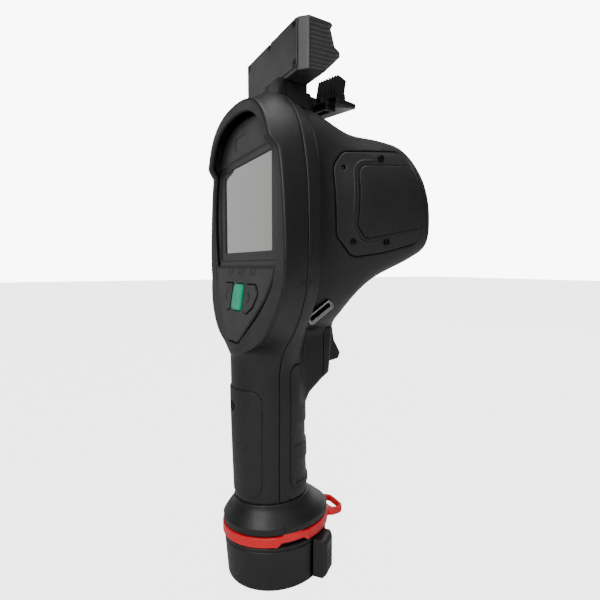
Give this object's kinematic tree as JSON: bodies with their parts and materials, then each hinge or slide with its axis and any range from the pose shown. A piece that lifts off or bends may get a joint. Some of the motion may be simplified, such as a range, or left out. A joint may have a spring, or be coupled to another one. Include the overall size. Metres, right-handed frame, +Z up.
{
  "type": "thermal imaging camera",
  "caption": "Handheld pistol-grip thermal imaging camera with a rear display and keys, a trigger, a clip-on battery foot and a top sensor bar.",
  "frame": {"origin": "centre of the battery's flat underside, on the axis of the foot", "axes": "+X to the camera's right side, +Y out through the lens, +Z up along the handle"},
  "size_m": [0.1158, 0.1269, 0.3192],
  "materials": {
    "shell_plastic": "fine textured matte moulding",
    "panel_plastic": "satin moulding",
    "screen_glass": "polished, light grey when off",
    "green_key": "glossy green silicone",
    "dark_key": "satin dark silicone",
    "pad_rubber": "matte rubber",
    "cover_plastic": "satin moulding",
    "light_metal": "satin metal",
    "screw_steel": "blackened steel",
    "red_rubber": "satin red rubber",
    "battery_plastic": "textured matte moulding",
    "trigger_plastic": "satin moulding",
    "lens_coating": "dark anti-reflection coating",
    "lens_metal": "black anodised",
    "board_green": "solder mask",
    "inner_metal": "plain metal",
    "cell_wrap": "shrink wrap over steel cans",
    "contact_gold": "gold plated",
    "bar_plastic": "satin moulding",
    "bar_glass": "smoked window",
    "bracket_metal": "black powder coat"
  },
  "bodies": {
    "camera": {"rear_shell": "shell_plastic", "front_shell": "shell_plastic", "shell_screws": "screw_steel", "grip_screw": "screw_steel", "bezel_panel": "panel_plastic", "display_window": "screen_glass", "lcd_module": "inner_metal", "main_board": "board_green", "key_domes": "contact_gold", "keypad_board": "board_green", "front_bumper": "cover_plastic", "lens_barrel": "lens_metal", "lens_ring": "lens_metal", "front_lens": "lens_coating", "rear_lens": "lens_coating", "sensor_core": "inner_metal", "sensor_mount": "inner_metal", "right_side_cover": "cover_plastic", "left_side_cover": "cover_plastic", "right_side_pad": "pad_rubber", "left_side_pad": "pad_rubber", "side_cover_screws": "screw_steel", "right_strap_anchor": "light_metal", "left_strap_anchor": "light_metal", "trigger_pin": "screw_steel", "trigger_frame": "trigger_plastic", "trigger_switch": "cover_plastic", "switch_plunger": "cover_plastic", "rear_grip_pad": "pad_rubber", "front_grip_pad": "pad_rubber", "base_collar": "shell_plastic", "contact_block": "cover_plastic", "body_contacts": "contact_gold", "lanyard_ring": "red_rubber", "bar_housing": "bar_plastic", "bar_cover": "bar_plastic", "bar_screws": "screw_steel", "bar_window": "bar_glass", "bar_board": "board_green", "bar_sensors": "bar_glass", "bar_bracket": "bracket_metal", "clamp_block": "bracket_metal", "shelf_post": "bracket_metal", "shelf_bolt": "screw_steel"},
    "power_button": {"power_button": "green_key"},
    "left_key": {"left_key": "dark_key"},
    "right_key": {"right_key": "dark_key"},
    "trigger": {"trigger": "trigger_plastic"},
    "battery": {"battery_case": "battery_plastic", "battery_lid": "battery_plastic", "battery_cells": "cell_wrap", "battery_board": "board_green", "battery_contacts": "contact_gold"},
    "right_latch": {"right_latch": "battery_plastic"},
    "left_latch": {"left_latch": "battery_plastic"},
    "shelf": {"shelf_plate": "bracket_metal", "lamp_bracket": "bracket_metal", "lamp_axle": "screw_steel"},
    "lamp": {"lamp_module": "bracket_metal"}
  },
  "joints": [
    {"name": "power_press", "type": "slide", "parent": "camera", "child": "power_button", "axis": [0, 0.9882, -0.1532], "range_m": [0, 0.0008], "stiffness_N_per_m": 600, "springref_m": -0.0008},
    {"name": "left_key_press", "type": "slide", "parent": "camera", "child": "left_key", "axis": [0, 0.9882, -0.1532], "range_m": [0, 0.0008], "stiffness_N_per_m": 600, "springref_m": -0.0008},
    {"name": "right_key_press", "type": "slide", "parent": "camera", "child": "right_key", "axis": [0, 0.9882, -0.1532], "range_m": [0, 0.0008], "stiffness_N_per_m": 600, "springref_m": -0.0008},
    {"name": "trigger_pull", "type": "hinge", "parent": "camera", "child": "trigger", "pos_m": [0, 0.032, 0.1515], "axis": [-1, 0, 0], "range_deg": [0, 5], "stiffness_Nm_per_rad": 0.3, "springref_deg": -6.88},
    {"name": "battery_slide", "type": "slide", "parent": "camera", "child": "battery", "axis": [0, 0, -1], "range_m": [0, 0.03]},
    {"name": "right_latch_press", "type": "slide", "parent": "battery", "child": "right_latch", "axis": [-0.7771, -0.6293, 0], "range_m": [0, 0.002], "stiffness_N_per_m": 1500, "springref_m": -0.002},
    {"name": "left_latch_press", "type": "slide", "parent": "battery", "child": "left_latch", "axis": [0.7771, -0.6293, 0], "range_m": [0, 0.002], "stiffness_N_per_m": 1500, "springref_m": -0.002},
    {"name": "shelf_turn", "type": "hinge", "parent": "camera", "child": "shelf", "pos_m": [0.008, 0.016, 0.289], "axis": [0, 0, 1], "range_deg": [-30, 15]},
    {"name": "lamp_tilt", "type": "hinge", "parent": "shelf", "child": "lamp", "pos_m": [-0.00246, 0.0396, 0.2935], "axis": [0.9659, 0.2588, 0], "range_deg": [-15, 25]}
  ]
}
